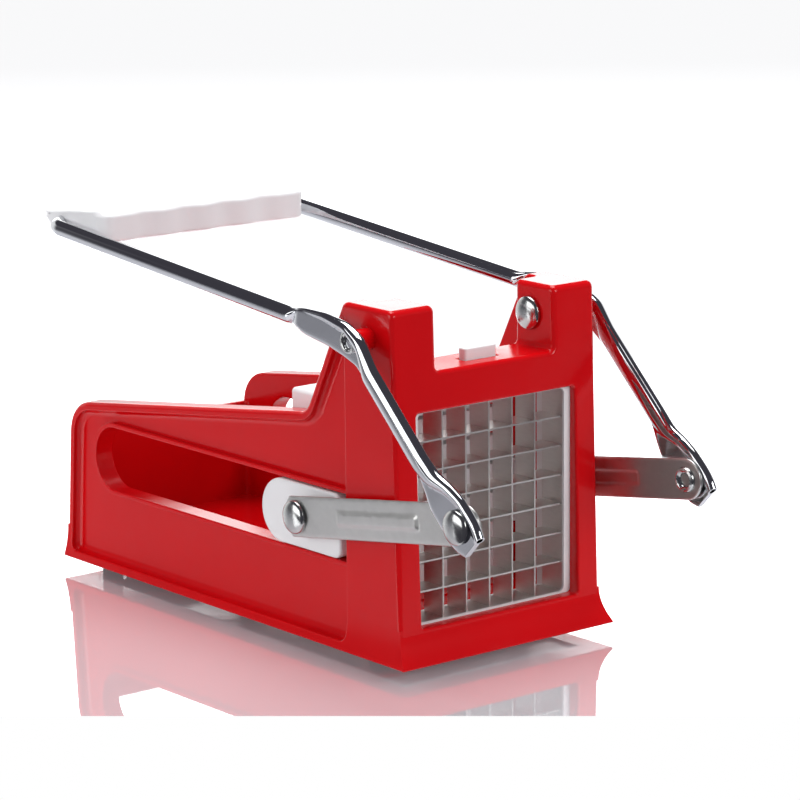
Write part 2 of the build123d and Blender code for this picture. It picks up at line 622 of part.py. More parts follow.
HEAD_DOME = RIVET_HEAD_HEIGHT - HEAD_RIM
for side, hand in (("left", -1), ("right", 1)):
    with BuildPart() as pivot_rivet:
        ring_foot, ring_face = ARM_FACE + HEAD_GAP, ARM_FACE + RING_HEIGHT
        pivot_shoulders = (
            (TOWER_INNER - HEAD_RIM, RIVET_HEAD_RADIUS),
            (TOWER_INNER, RIVET_HEAD_RADIUS),
            (TOWER_INNER, RIVET_RADIUS),
            (ring_foot, RIVET_RADIUS),
            (ring_foot, RING_RADIUS),
            (ring_face, RING_RADIUS),
            (ring_face, RING_BORE),
            (ring_face - RING_BORE_DEPTH, RING_BORE),
        )
        with BuildSketch(axis_plane(PIVOT, hand)):
            add(half_section(pivot_shoulders, tail_dome=HEAD_DOME))
        revolve(axis=Axis((0, *PIVOT), (1, 0, 0)))
    save(pivot_rivet, f"pivot_rivet_{side}")

    with BuildPart() as crank_rivet:
        crank_shoulders = (
            (ARM_INNER, RIVET_RADIUS),
            (ARM_FACE, RIVET_RADIUS),
            (ARM_FACE, RIVET_HEAD_RADIUS),
            (ARM_FACE + HEAD_RIM, RIVET_HEAD_RADIUS),
        )
        with BuildSketch(axis_plane(CRANK, hand)):
            add(half_section(crank_shoulders, head_dome=HEAD_DOME))
        revolve(axis=Axis((0, *CRANK), (1, 0, 0)))
    save(crank_rivet, f"crank_rivet_{side}")

    with BuildPart() as crank_rivet_tail:
        tail_shoulders = (
            (LINK_INNER - TAIL_RIM, TAIL_RADIUS),
            (LINK_INNER, TAIL_RADIUS),
            (LINK_INNER, RIVET_RADIUS),
            (LINK_FACE, RIVET_RADIUS),
        )
        with BuildSketch(axis_plane(CRANK, hand)):
            add(half_section(tail_shoulders, tail_dome=TAIL_DOME))
        revolve(axis=Axis((0, *CRANK), (1, 0, 0)))
    save(crank_rivet_tail, f"crank_rivet_tail_{side}")

    with BuildPart() as push_pin:
        cheek_face = PUSHER_HALF - CHEEK
        pin_shoulders = (
            (cheek_face - TAIL_RIM, TAIL_RADIUS),
            (cheek_face, TAIL_RADIUS),
            (cheek_face, RIVET_RADIUS),
            (LINK_FACE + HEAD_GAP, RIVET_RADIUS),
            (LINK_FACE + HEAD_GAP, RIVET_HEAD_RADIUS),
            (LINK_FACE + HEAD_GAP + HEAD_RIM, RIVET_HEAD_RADIUS),
        )
        with BuildSketch(axis_plane(PUSH, hand)):
            add(half_section(pin_shoulders, tail_dome=TAIL_DOME, head_dome=HEAD_DOME))
        revolve(axis=Axis((0, *PUSH), (1, 0, 0)))
    save(push_pin, f"push_pin_{side}")

# ---------------------------------------------------------------- handle
# Chromed steel tube bent to a U. Both ends are pressed flat where the pivot passes, run
# down and forward as a half-round arm, and are pressed flat again at the crank.
ROD_RISE = 5.2              # degrees that the side rods climb towards the rear
NECK_Y, NECK_Z = at(50.0), 121.7
CROSS_Y = at(201.0)
CROSS_Z = NECK_Z + (CROSS_Y - NECK_Y) * tan(radians(ROD_RISE))
ELBOW_RADIUS = 9.0
ARM_WIDTH = 7.9             # of the half-round run between pivot and crank
ARM_BULGE = 4.6
ARM_LEAD = 0.4              # the run's middle lies this far in front of the rivets' line
arm_way = Vector(0, CRANK[0] - PIVOT[0], CRANK[1] - PIVOT[1]).normalized()
arm_front = Vector(0, arm_way.Z, -arm_way.Y)
ARM_SPAN = ((CRANK[0] - PIVOT[0]) ** 2 + (CRANK[1] - PIVOT[1]) ** 2) ** 0.5
ARM_BULGE_CORNER = 2.2
ARM_BULGE_RUN = (15.0, 24.0)  # where the bulge starts and ends, from pivot and from crank
ARM_CORNER = 1.2
ARM_OUTLINE = (
    (at(56.0), NECK_Z + 3.2),
    (at(45.7), 125.4),
    (at(31.0), 125.6),
    (at(18.5), 124.0),
    (at(10.4), 120.6),
    (at(3.5), 110.7),
    (at(-28.4), 80.4),
    (at(-45.0), 72.0),
    (at(-50.4), 69.3),
    (at(-CRANK_NOSE), 67.3),
    (at(-CRANK_NOSE), 65.0),
    (at(-51.6), 61.5),
    (at(-43.1), 53.7),
    (at(-35.3), 56.6),
    (at(-30.6), 62.0),
    (at(-25.6), 66.4),
    (at(-22.2), 73.0),
    (at(-15.9), 81.8),
    (at(8.6), 105.4),
    (at(12.8), 109.5),
    (at(29.1), 114.3),
    (at(42.0), 116.3),
    (at(56.0), NECK_Z - 2.2),
)

with BuildPart() as handle:
    with BuildLine() as rod_line:
        FilletPolyline(
            (-ROD_X, NECK_Y, NECK_Z),
            (-ROD_X, CROSS_Y, CROSS_Z),
            (ROD_X, CROSS_Y, CROSS_Z),
            (ROD_X, NECK_Y, NECK_Z),
            radius=ELBOW_RADIUS,
        )
    with BuildSketch(Plane(origin=rod_line.line @ 0, z_dir=rod_line.line % 0)):
        Circle(ROD_RADIUS)
    sweep()
    for hand in (-1, 1):
        with BuildSketch(side_plane(hand * ARM_INNER)) as flats:
            with BuildLine():
                Polyline(*ARM_OUTLINE, close=True)
            make_face()
            fillet(flats.vertices(), ARM_CORNER)
        extrude(amount=hand * ARM_THICKNESS)
        bulge_plane = Plane(
            origin=Vector(hand * (ARM_INNER + ARM_BULGE / 2), *PIVOT) + arm_front * ARM_LEAD,
            x_dir=(1, 0, 0),
            z_dir=arm_way,
        )
        with BuildSketch(bulge_plane.offset(ARM_BULGE_RUN[0])):
            RectangleRounded(ARM_BULGE, ARM_WIDTH, ARM_BULGE_CORNER)
        extrude(amount=ARM_SPAN - sum(ARM_BULGE_RUN))
        with BuildSketch(Plane.YZ):
            with Locations(PIVOT):
                Circle(RIVET_RADIUS + RUNNING_GAP)
            with Locations(CRANK):
                Circle(RIVET_RADIUS)
        extrude(amount=hand * THROUGH, mode=Mode.SUBTRACT)
save(handle, "handle")

# ---------------------------------------------------------------- grip
# White plastic, clipped over the cross rod from above, with finger grooves in front.
GRIP_HALF = 47.5
GRIP_CORNER = 5.0           # its ends are rounded in plan
GRIP_FRONT = at(171.0)
GROOVES = 4
GROOVE_PITCH = 18.5
GROOVE_RADIUS = 24.0
GROOVE_DEPTH = 1.8
GRIP_ROUND = 1.3
GRIP_SECTION = (
    (GRIP_FRONT, 131.5),
    (GRIP_FRONT, 141.0),
    (at(175.0), 143.2),
    (at(GRIP_BACK), 139.4),
    (at(GRIP_BACK), 136.2),
    (at(207.0), 131.4),
    (at(176.0), 130.2),
)
CLIP_MOUTH = 5.6            # width of the mouth that snaps over the cross rod

with BuildPart() as grip:
    with BuildSketch(side_plane(-GRIP_HALF)) as grip_section:
        with BuildLine():
            Polyline(*GRIP_SECTION, close=True)
        make_face()
        fillet(grip_section.vertices(), GRIP_ROUND)
    extrude(amount=2 * GRIP_HALF)
    with BuildSketch(Plane.XY.offset(TOWER_TOP)):
        with Locations((0, (GRIP_FRONT + at(GRIP_BACK)) / 2)):
            RectangleRounded(2 * GRIP_HALF, at(GRIP_BACK) - GRIP_FRONT, GRIP_CORNER)
    extrude(amount=THROUGH, mode=Mode.INTERSECT)
    with BuildSketch(Plane.XY.offset(TOWER_TOP - 20.0)):
        for i in range(GROOVES):
            x = GROOVE_PITCH * (i - (GROOVES - 1) / 2)
            with Locations((x, GRIP_FRONT + GROOVE_DEPTH - GROOVE_RADIUS)):
                Circle(GROOVE_RADIUS)
    extrude(amount=THROUGH, mode=Mode.SUBTRACT)
    with BuildSketch(Plane.YZ):
        with Locations((CROSS_Y, CROSS_Z)):
            Circle(ROD_RADIUS)
        with Locations((CROSS_Y, CROSS_Z - 5.0)):
            Rectangle(CLIP_MOUTH, 10.0)
    extrude(amount=ROD_X - ELBOW_RADIUS, both=True, mode=Mode.SUBTRACT)
    add(handle.part, mode=Mode.SUBTRACT)
save(grip, "grip")
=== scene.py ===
import math

import bmesh
import bpy
import numpy as np
from mathutils import Matrix, Vector


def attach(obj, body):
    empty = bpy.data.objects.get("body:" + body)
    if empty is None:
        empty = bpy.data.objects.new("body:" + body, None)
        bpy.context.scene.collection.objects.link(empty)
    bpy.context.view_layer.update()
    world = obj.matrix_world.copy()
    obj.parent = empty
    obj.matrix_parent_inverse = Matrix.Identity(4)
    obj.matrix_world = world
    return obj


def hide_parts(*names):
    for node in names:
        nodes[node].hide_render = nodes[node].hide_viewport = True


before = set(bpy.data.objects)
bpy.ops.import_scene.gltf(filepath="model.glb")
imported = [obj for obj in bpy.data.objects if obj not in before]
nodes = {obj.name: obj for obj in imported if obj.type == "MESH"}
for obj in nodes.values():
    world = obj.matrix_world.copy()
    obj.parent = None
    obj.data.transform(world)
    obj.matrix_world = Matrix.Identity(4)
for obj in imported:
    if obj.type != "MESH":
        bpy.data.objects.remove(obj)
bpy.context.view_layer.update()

# ---------------------------------------------------------------- camera
# A short telephoto, a little over a metre in front of the tool and to its left, about
# twelve degrees above the table.
MM = 0.001
FRONT = -80.6               # Y of the front face's foot, in millimetres
CAMERA_PLACE = np.array([-787.08, FRONT - 914.06, 351.09]) * MM
CAMERA_YAW, CAMERA_PITCH, CAMERA_ROLL = 0.681552, 0.211075, -0.008557
camera_data = bpy.data.cameras.new("camera")
camera_data.sensor_width = 36.0
camera_data.lens = 160.24
camera_data.clip_start, camera_data.clip_end = 0.05, 30.0
camera = bpy.data.objects.new("camera", camera_data)
bpy.context.scene.collection.objects.link(camera)
camera.matrix_world = (
    Matrix.Translation(CAMERA_PLACE)
    @ Matrix.Rotation(-CAMERA_YAW, 4, "Z")
    @ Matrix.Rotation(math.pi / 2 - CAMERA_PITCH, 4, "X")
    @ Matrix.Rotation(CAMERA_ROLL, 4, "Z")
)
bpy.context.scene.camera = camera


# ---------------------------------------------------------------- table and studio
# A sheet of white gloss acrylic under the tool, a white sweep behind it, and a dim room
# above and behind the camera, which is what the chrome has to reflect.
def linear(hex_colour, level=1.0):
    """An sRGB hex colour as linear red, green, blue and 1: each channel is c / 12.92 up to
    0.04045, and ((c + 0.055) / 1.055) to the power 2.4 above it."""
    channels = [int(hex_colour[i : i + 2], 16) / 255 for i in (1, 3, 5)]
    curve = [c / 12.92 if c <= 0.04045 else ((c + 0.055) / 1.055) ** 2.4 for c in channels]
    return (*[level * c for c in curve], 1.0)


def socket(sockets, key):
    """A socket by its number, or the enabled one of this name."""
    if isinstance(key, int):
        return sockets[key]
    return next(s for s in sockets if s.enabled and s.name == key)


def add_node(owner, kind, settings=None, links=None):
    """Adds one shader node to a material or world: settings fills its own fields, which
    have lower-case names, and then its sockets, and links joins its sockets to (node,
    output) pairs."""
    node = owner.node_tree.nodes.new(kind)
    settings = dict(settings or {})
    for field in [k for k in settings if isinstance(k, str) and k.islower()]:
        setattr(node, field, settings.pop(field))
    for key, value in settings.items():
        socket(node.inputs, key).default_value = value
    for key, (source, output) in (links or {}).items():
        owner.node_tree.links.new(socket(source.outputs, output), socket(node.inputs, key))
    return node


def blank(owner):
    """A material or world with an empty node tree."""
    owner.use_nodes = True
    owner.node_tree.nodes.clear()
    return owner


def new_mesh(name, points, faces, material):
    """A mesh object at the origin, from points in millimetres."""
    mesh = bpy.data.meshes.new(name)
    mesh.from_pydata((np.asarray(points) * MM).tolist(), [], faces)
    mesh.materials.append(material)
    piece = bpy.data.objects.new(name, mesh)
    bpy.context.scene.collection.objects.link(piece)
    return piece


TABLE_GLOW = 0.20           # lifts the white that the camera sees, and lights nothing
acrylic = blank(bpy.data.materials.new("white_gloss_acrylic"))
ray = add_node(acrylic, "ShaderNodeLightPath")
seen = add_node(
    acrylic,
    "ShaderNodeMath",
    {"operation": "MAXIMUM"},
    {0: (ray, "Is Camera Ray"), 1: (ray, "Is Transmission Ray")},
)
lit = add_node(acrylic, "ShaderNodeBsdfDiffuse", {"Color": linear("#F0F0F4")})
glow_level = add_node(
    acrylic, "ShaderNodeMath", {"operation": "MULTIPLY", 1: TABLE_GLOW}, {0: (seen, 0)}
)
glow = add_node(
    acrylic, "ShaderNodeEmission", {"Color": linear("#F6F6FF")}, {"Strength": (glow_level, 0)}
)
matt = add_node(acrylic, "ShaderNodeAddShader", {}, {0: (lit, 0), 1: (glow, 0)})
polish = add_node(acrylic, "ShaderNodeBsdfGlossy", {"Color": linear("#FFFFFF"), "Roughness": 0.02})
# The flatter the view, the more the polish shows: the facing value to the power 1.4.
facing = add_node(acrylic, "ShaderNodeLayerWeight", {"Blend": 0.5})
grazing = add_node(
    acrylic, "ShaderNodeMath", {"operation": "POWER", 1: 1.4}, {0: (facing, "Facing")}
)
surface = add_node(
    acrylic, "ShaderNodeMixShader", {}, {0: (grazing, 0), 1: (matt, 0), 2: (polish, 0)}
)
add_node(acrylic, "ShaderNodeOutputMaterial", {}, {"Surface": (surface, 0)})

# The sheet's near edge runs across the view, just in front of the tool.
NEAR_EDGE = np.array([(-173.0, -24.3), (28.9, -197.9)])
edge_way = (NEAR_EDGE[1] - NEAR_EDGE[0]) / np.hypot(*(NEAR_EDGE[1] - NEAR_EDGE[0]))
edge_back = np.array([-edge_way[1], edge_way[0]])
SHEET_HALF, SHEET_DEPTH = 4000.0, 6000.0
along_edge = (-SHEET_HALF, SHEET_HALF, SHEET_HALF, -SHEET_HALF)
off_edge = (0.0, 0.0, SHEET_DEPTH, SHEET_DEPTH)
corners = NEAR_EDGE[0] + np.outer(along_edge, edge_way) + np.outer(off_edge, edge_back)
table = new_mesh("table", np.column_stack([corners, np.zeros(4)]), [(0, 1, 2, 3)], acrylic)

studio = blank(bpy.data.worlds.new("studio"))
bpy.context.scene.world = studio
ray = add_node(studio, "ShaderNodeLightPath")
way = add_node(studio, "ShaderNodeTexCoord")
parts = add_node(studio, "ShaderNodeSeparateXYZ", {}, {0: (way, "Generated")})
# The sweep's middle lies this way from the tool. How far a ray heads for it: 1 straight at
# it, and -1 straight away from it.
SWEEP_WAY = (0.63, 0.777, 0.0)
towards_sweep = add_node(
    studio,
    "ShaderNodeVectorMath",
    {"operation": "DOT_PRODUCT", 1: SWEEP_WAY},
    {0: (way, "Generated")},
)
sweep_side = add_node(
    studio,
    "ShaderNodeMapRange",
    {"interpolation_type": "SMOOTHSTEP", "From Min": 0.25, "From Max": 0.65},
    {"Value": (towards_sweep, "Value")},
)
low_down = add_node(
    studio,
    "ShaderNodeMapRange",
    {"interpolation_type": "SMOOTHSTEP", "From Min": 0.50, "From Max": 0.34},
    {"Value": (parts, "Z")},
)
sweep = add_node(
    studio, "ShaderNodeMath", {"operation": "MULTIPLY"}, {0: (sweep_side, 0), 1: (low_down, 0)}
)
room = add_node(
    studio,
    "ShaderNodeMix",
    {"data_type": "RGBA", "A": linear("#46444B"), "B": linear("#FFFFFF")},
    {"Factor": (sweep, 0)},
)
room_light = add_node(
    studio, "ShaderNodeBackground", {"Strength": 1.0}, {"Color": (room, "Result")}
)
soft_light = add_node(
    studio, "ShaderNodeBackground", {"Color": linear("#F6F8FF"), "Strength": 0.45}
)
white = add_node(studio, "ShaderNodeBackground", {"Color": linear("#FFFFFF"), "Strength": 1.0})
shine = add_node(
    studio,
    "ShaderNodeMath",
    {"operation": "MAXIMUM"},
    {0: (ray, "Is Glossy Ray"), 1: (ray, "Is Transmission Ray")},
)
lighting = add_node(
    studio, "ShaderNodeMixShader", {}, {0: (shine, 0), 1: (soft_light, 0), 2: (room_light, 0)}
)
surroundings = add_node(
    studio, "ShaderNodeMixShader", {}, {0: (ray, "Is Camera Ray"), 1: (lighting, 0), 2: (white, 0)}
)
add_node(studio, "ShaderNodeOutputWorld", {}, {"Surface": (surroundings, 0)})


def lamp(name, place, aim, size, watts):
    """A white rectangular soft box of this size at a place, turned to face the aim."""
    data = bpy.data.lights.new(name, "AREA")
    data.shape, data.size, data.size_y = "RECTANGLE", *size
    data.energy = watts
    box = bpy.data.objects.new(name, data)
    turn = (Vector(aim) - Vector(place)).to_track_quat("-Z", "Y").to_matrix().to_4x4()
    box.matrix_world = Matrix.Translation(place) @ turn
    bpy.context.scene.collection.objects.link(box)


TOOL_MIDDLE = (0.0, 0.0, 0.07)
lamp("overhead_soft_box", (0.15, 0.25, 1.30), TOOL_MIDDLE, (1.0, 0.9), 15.0)
lamp("left_soft_box", (-1.25, 0.33, 0.34), TOOL_MIDDLE, (1.05, 0.62), 5.0)
lamp("back_soft_box", (1.01, 1.24, 0.46), TOOL_MIDDLE, (1.6, 0.45), 4.5)
lamp("front_soft_box", (0.35, -1.45, 0.70), TOOL_MIDDLE, (0.8, 0.6), 8.0)


# ---------------------------------------------------------------- body
# The one-piece moulding: a portal with two towers, and a trough with a slot in each side.
# Injection-moulded red ABS from a polished mould, so it is glossy with a faint ripple.
DRIFT_SIZE, RIPPLE_SIZE, GRAIN_SIZE = 45.0, 14.0, 1.4     # of the patterns, in millimetres


def plastic(name, hex_colour, roughness, ripple, ior=1.54):
    """Moulded plastic: a base colour that drifts a little in lightness, a gloss with a
    fine grain, and a shallow ripple, given in metres, from shrinkage."""
    material = blank(bpy.data.materials.new(name))
    place = add_node(material, "ShaderNodeTexCoord")
    drift = add_node(
        material,
        "ShaderNodeTexNoise",
        {"Scale": 1000.0 / DRIFT_SIZE, "Detail": 2.0},
        {"Vector": (place, "Object")},
    )
    tone = add_node(
        material,
        "ShaderNodeMix",
        {"data_type": "RGBA", "A": linear(hex_colour, 0.92), "B": linear(hex_colour, 1.06)},
        {"Factor": (drift, "Fac")},
    )
    grain = add_node(
        material,
        "ShaderNodeTexNoise",
        {"Scale": 1000.0 / GRAIN_SIZE, "Detail": 3.0},
        {"Vector": (place, "Object")},
    )
    gloss = add_node(
        material,
        "ShaderNodeMapRange",
        {"To Min": roughness * 0.85, "To Max": roughness * 1.2},
        {"Value": (grain, "Fac")},
    )
    waves = add_node(
        material,
        "ShaderNodeTexNoise",
        {"Scale": 1000.0 / RIPPLE_SIZE, "Detail": 1.0},
        {"Vector": (place, "Object")},
    )
    relief = add_node(
        material,
        "ShaderNodeBump",
        {"Strength": 0.35, "Distance": ripple},
        {"Height": (waves, "Fac")},
    )
    shader = add_node(
        material,
        "ShaderNodeBsdfPrincipled",
        {"IOR": ior},
        {"Base Color": (tone, "Result"), "Roughness": (gloss, 0), "Normal": (relief, 0)},
    )
    add_node(material, "ShaderNodeOutputMaterial", {}, {"Surface": (shader, 0)})
    return material


def finish_node(name, material):
    """A carried-over part takes this material in all its slots."""
    mesh = nodes[name].data
    mesh.materials.clear()
    mesh.materials.append(material)


red_abs = plastic("red_gloss_abs", "#D4060E", 0.16, 0.0004, 1.42)
finish_node("body", red_abs)

# ---------------------------------------------------------------- feet
# Black rubber buttons pushed up into bosses under the trough; they are moulded, so matt.
rubber = plastic("black_rubber", "#1A1A1B", 0.7, 0.0002)
for name in nodes:
    if name.startswith("foot"):
        finish_node(name, rubber)


# ---------------------------------------------------------------- blade cassette
# A white ABS surround holds a stainless band and eleven stainless strips, halved into one
# another where they cross; the strips have faint streaks from front to back.
def metal(name, hex_colour, roughness, streak, stretch):
    """A plated or rolled metal: its roughness and tone run in streaks of this width in
    millimetres, and a stretch under 1 along X, Y or Z draws them out that way."""
    material = blank(bpy.data.materials.new(name))
    place = add_node(material, "ShaderNodeTexCoord")
    along = add_node(
        material, "ShaderNodeMapping", {"Scale": stretch}, {"Vector": (place, "Object")}
    )
    streaks = add_node(
        material,
        "ShaderNodeTexNoise",
        {"Scale": 1000.0 / streak, "Detail": 3.0},
        {"Vector": (along, "Vector")},
    )
    gloss = add_node(
        material,
        "ShaderNodeMapRange",
        {"To Min": roughness * 0.7, "To Max": roughness * 1.4},
        {"Value": (streaks, "Fac")},
    )
    tone = add_node(
        material,
        "ShaderNodeMix",
        {"data_type": "RGBA", "A": linear(hex_colour, 0.90), "B": linear(hex_colour, 1.05)},
        {"Factor": (streaks, "Fac")},
    )
    shader = add_node(
        material,
        "ShaderNodeBsdfPrincipled",
        {"Metallic": 1.0},
        {"Base Color": (tone, "Result"), "Roughness": (gloss, 0)},
    )
    add_node(material, "ShaderNodeOutputMaterial", {}, {"Surface": (shader, 0)})
    return material


white_abs = plastic("white_moulded_abs", "#EFEEEE", 0.34, 0.0003)
finish_node("cassette_frame", white_abs)
stainless = metal("stainless_blade_strip", "#E2E0DC", 0.34, 0.8, (1.0, 0.2, 1.0))
for name in nodes:
    if name.startswith("blade"):
        finish_node(name, stainless)

# ---------------------------------------------------------------- pusher and slides
# The studded pusher and the two shoes that run in the slots, moulded in white ABS.
for name in ("pusher", "slide_left", "slide_right"):
    finish_node(name, white_abs)

# ---------------------------------------------------------------- push pins
# Nickel-plated steel pins with domed heads outside the links. The plating is bright, with
# a soft, even mottle.
HANDS = {"left": -1, "right": 1}        # sign of X on each side
PUSH = (FRONT + 51.9, 49.4)             # Y and Z of each axis
CRANK = (FRONT - 40.0, 63.5)
PIVOT = (FRONT + 16.3, 117.6)
ROUND_SEGMENTS = 72
nickel = metal("nickel_plated_rivet", "#C4C6C5", 0.18, 1.0, (1.0, 1.0, 1.0))


def skin(name, rings, material, body, replaced):
    """A closed skin through rings of points, an array of rings x points x 3 in
    millimetres, which rides on a body in the place of a plain part: quads join each ring to
    the next, and one face caps each end. Points that fall together at a pole are merged,
    and the faces are then turned outwards."""
    rings = np.asarray(rings, dtype=float)
    count, around = rings.shape[:2]
    here = np.arange(count - 1)[:, None] * around + np.arange(around)
    beside = np.arange(count - 1)[:, None] * around + (np.arange(around) + 1) % around
    quads = np.stack([here, beside, beside + around, here + around], axis=-1).reshape(-1, 4)
    caps = [np.arange(around)[::-1].tolist(), (np.arange(around) + (count - 1) * around).tolist()]
    piece = new_mesh(name, rings.reshape(-1, 3), quads.tolist() + caps, material)
    work = bmesh.new()
    work.from_mesh(piece.data)
    bmesh.ops.remove_doubles(work, verts=work.verts, dist=1e-6)
    bmesh.ops.dissolve_degenerate(work, edges=work.edges, dist=1e-7)
    bmesh.ops.recalc_face_normals(work, faces=work.faces)
    work.to_mesh(piece.data)
    work.free()
    piece.data.shade_smooth()
    piece.data.set_sharp_from_angle(angle=math.radians(40.0))
    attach(piece, body)
    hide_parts(replaced)


def turned(profile, centre, hand):
    """Rings of a turned part: each (x, radius) of the profile becomes a circle about the
    axis through this centre, with x measured outwards on the part's own side."""
    x, radius = np.asarray(profile, dtype=float).T
    angle = np.linspace(0, 2 * math.pi, ROUND_SEGMENTS, endpoint=False)
    y = centre[0] + radius[:, None] * np.cos(angle)
    z = centre[1] + radius[:, None] * np.sin(angle)
    return np.stack([np.broadcast_to(hand * x[:, None], y.shape), y, z], axis=-1)


HEAD_RADIUS, HEAD_HEIGHT = 6.0, 2.8
HEAD_RIM, RIM_CHAMFER = 0.7, 0.3
DOME_FULLNESS = 0.85        # under 1 is fuller than an ellipse


def dome(foot, way):
    """Profile of a rivet head from its foot out to its tip: a short rim, chamfered at the
    foot, then a rise of (height - rim) * cos(a) to the power of the fullness, over
    radius * sin(a)."""
    a = np.linspace(math.pi / 2, 0, 22)
    x = foot + way * (HEAD_RIM + (HEAD_HEIGHT - HEAD_RIM) * np.cos(a) ** DOME_FULLNESS)
    rim = [(foot, HEAD_RADIUS - RIM_CHAMFER), (foot + way * RIM_CHAMFER, HEAD_RADIUS)]
    return [*rim, *zip(x, HEAD_RADIUS * np.sin(a))]


SHANK_RADIUS = 2.9
LINK_INNER, LINK_THICKNESS = 49.7, 1.3
LINK_FACE = LINK_INNER + LINK_THICKNESS
HEAD_GAP = 0.1              # between the link and the head outside it
PIN_TIP, COLLAR_RADIUS = 32.0, 4.6      # the pin's inner end is a rounded collar
for side, hand in HANDS.items():
    collar = [
        (PIN_TIP, 0.0), (PIN_TIP + 0.2, 2.4), (PIN_TIP + 1.0, 4.4), (PIN_TIP + 1.4, COLLAR_RADIUS),
    ]
    shank = [(PIN_TIP + 1.4, SHANK_RADIUS), (LINK_FACE + HEAD_GAP, SHANK_RADIUS)]
    head = dome(LINK_FACE + HEAD_GAP, 1)
    rings = turned(collar + shank + head, PUSH, hand)
    skin(f"push_pin_{side}_turned", rings, nickel, "pusher", f"push_pin_{side}")

# ---------------------------------------------------------------- links
# Flat steel strips between slide and crank, with a long rib pressed along the middle.
# They are zinc plated, which leaves a satin grey face with a soft mottle.
LINK_HALF = 7.35
LINK_TAIL, TAIL_CLIP, CLIP_SLOPE = 6.2, 3.4, 1.1     # the rear end is square, with clipped corners
STRIP_SQUARENESS = 14       # power of the section's outline: the higher, the sharper its edges
RIB_MIDDLE, RIB_HALF_LENGTH, RIB_HALF_WIDTH, RIB_HEIGHT = 46.0, 22.0, 2.3, 0.7
RIB_SLOPE = 1.7             # width of the rib's sloping edge
LINK_STEP, LINK_SAMPLES = 0.7, 80       # between the rings along the link, and round each
zinc = metal("zinc_plated_strip", "#CDCDCB", 0.34, 1.6, (1.0, 0.5, 0.8))
LINK_SPAN = math.hypot(CRANK[0] - PUSH[0], CRANK[1] - PUSH[1])
link_way = np.array([CRANK[0] - PUSH[0], CRANK[1] - PUSH[1]]) / LINK_SPAN
link_across = np.array([link_way[1], -link_way[0]])


def ramp(distance, half, slope):
    """1 inside this half size and 0 outside it, with a smooth step of this width."""
    t = np.clip((half + slope / 2 - distance) / slope, 0, 1)
    return t * t * (3 - 2 * t)


def loop_across(samples):
    """Places round a flat section, from -1 at one edge to 1 at the other and back: minus
    the cosine of an angle that goes once round, so they crowd at both edges, and the sign
    of the face that each lies on."""
    angle = np.linspace(0, 2 * math.pi, samples, endpoint=False)
    return -np.cos(angle), np.where(np.arange(samples) <= samples // 2, 1.0, -1.0)


def link_rings(hand):
    """Rings along the link, measured from its pin: the half width is the least of the
    strip's, the clipped corners' and the round nose's, and the rib lifts both faces."""
    run = np.concatenate([
        -LINK_TAIL + 2.0 - 2.0 * np.cos(np.linspace(0, math.pi / 2, 24)[::2]),
        np.arange(-LINK_TAIL + 2.3, LINK_SPAN - 0.5, LINK_STEP),
        LINK_SPAN + LINK_HALF * np.sin(np.linspace(0, math.pi / 2, 26))[:-1],
    ])
    run = np.append(np.unique(np.round(run, 4)), LINK_SPAN + LINK_HALF - 0.004)
    half = np.minimum(LINK_HALF, LINK_HALF - TAIL_CLIP + (run + LINK_TAIL) * CLIP_SLOPE)
    nose = np.clip(run - LINK_SPAN, 0, LINK_HALF)
    half = np.minimum(half, np.sqrt(LINK_HALF**2 - nose**2))[:, None]
    across, face = loop_across(LINK_SAMPLES)
    offset = half * across
    rib_along = ramp(np.abs(run - RIB_MIDDLE)[:, None], RIB_HALF_LENGTH, RIB_SLOPE)
    rib = RIB_HEIGHT * rib_along * ramp(np.abs(offset), RIB_HALF_WIDTH, RIB_SLOPE)
    thick = LINK_THICKNESS / 2 * np.sqrt(1 - np.abs(across) ** STRIP_SQUARENESS)
    outwards = LINK_INNER + LINK_THICKNESS / 2 + face * thick + rib
    y = PUSH[0] + run[:, None] * link_way[0] + offset * link_across[0]
    z = PUSH[1] + run[:, None] * link_way[1] + offset * link_across[1]
    return np.stack([hand * outwards, y, z], axis=-1)


for side, hand in HANDS.items():
    rings = link_rings(hand)
    skin(f"link_strip_{side}", rings, zinc, f"link_{side}", f"link_{side}")

    # The rivet's tail, in the link's front eye: dimpled in the middle and rolled over
    # behind the link.
    tail = [
        (LINK_INNER + 0.6, 0.0), (LINK_INNER + 0.6, 2.0), (LINK_INNER - 0.5, 2.3),
        (LINK_INNER - 1.1, 2.9), (LINK_INNER - 1.35, 3.5), (LINK_INNER - 1.1, 4.2),
        (LINK_INNER - 0.4, COLLAR_RADIUS), (LINK_INNER + 0.05, COLLAR_RADIUS),
        (LINK_INNER + 0.05, SHANK_RADIUS), (LINK_FACE, SHANK_RADIUS), (LINK_FACE, 0.0),
    ]
    rings = turned(tail, CRANK, hand)
    hidden = f"crank_rivet_tail_{side}"
    skin(f"crank_eyelet_{side}", rings, nickel, f"link_{side}", hidden)

# ---------------------------------------------------------------- handle
# One steel tube bent to a U and chrome plated. Each leg is pressed flat where the pivot
# passes, runs down as a tube that is proud of the flat, and is pressed flat at the crank.
ROD_X, ROD_RADIUS, ROD_RISE = 52.2, 3.0, math.radians(5.2)
NECK = (FRONT + 56.0, 121.7 + 6.0 * math.tan(ROD_RISE))
CROSS_RUN = (201.0 - 56.0) / math.cos(ROD_RISE)
ELBOW_RADIUS = 9.0
ROD_SEGMENTS = 40
# Bright chrome, with faint draw marks that run along the tube.
chrome = metal("chromed_tube", "#D4D6DA", 0.05, 1.2, (1.0, 0.08, 0.3))

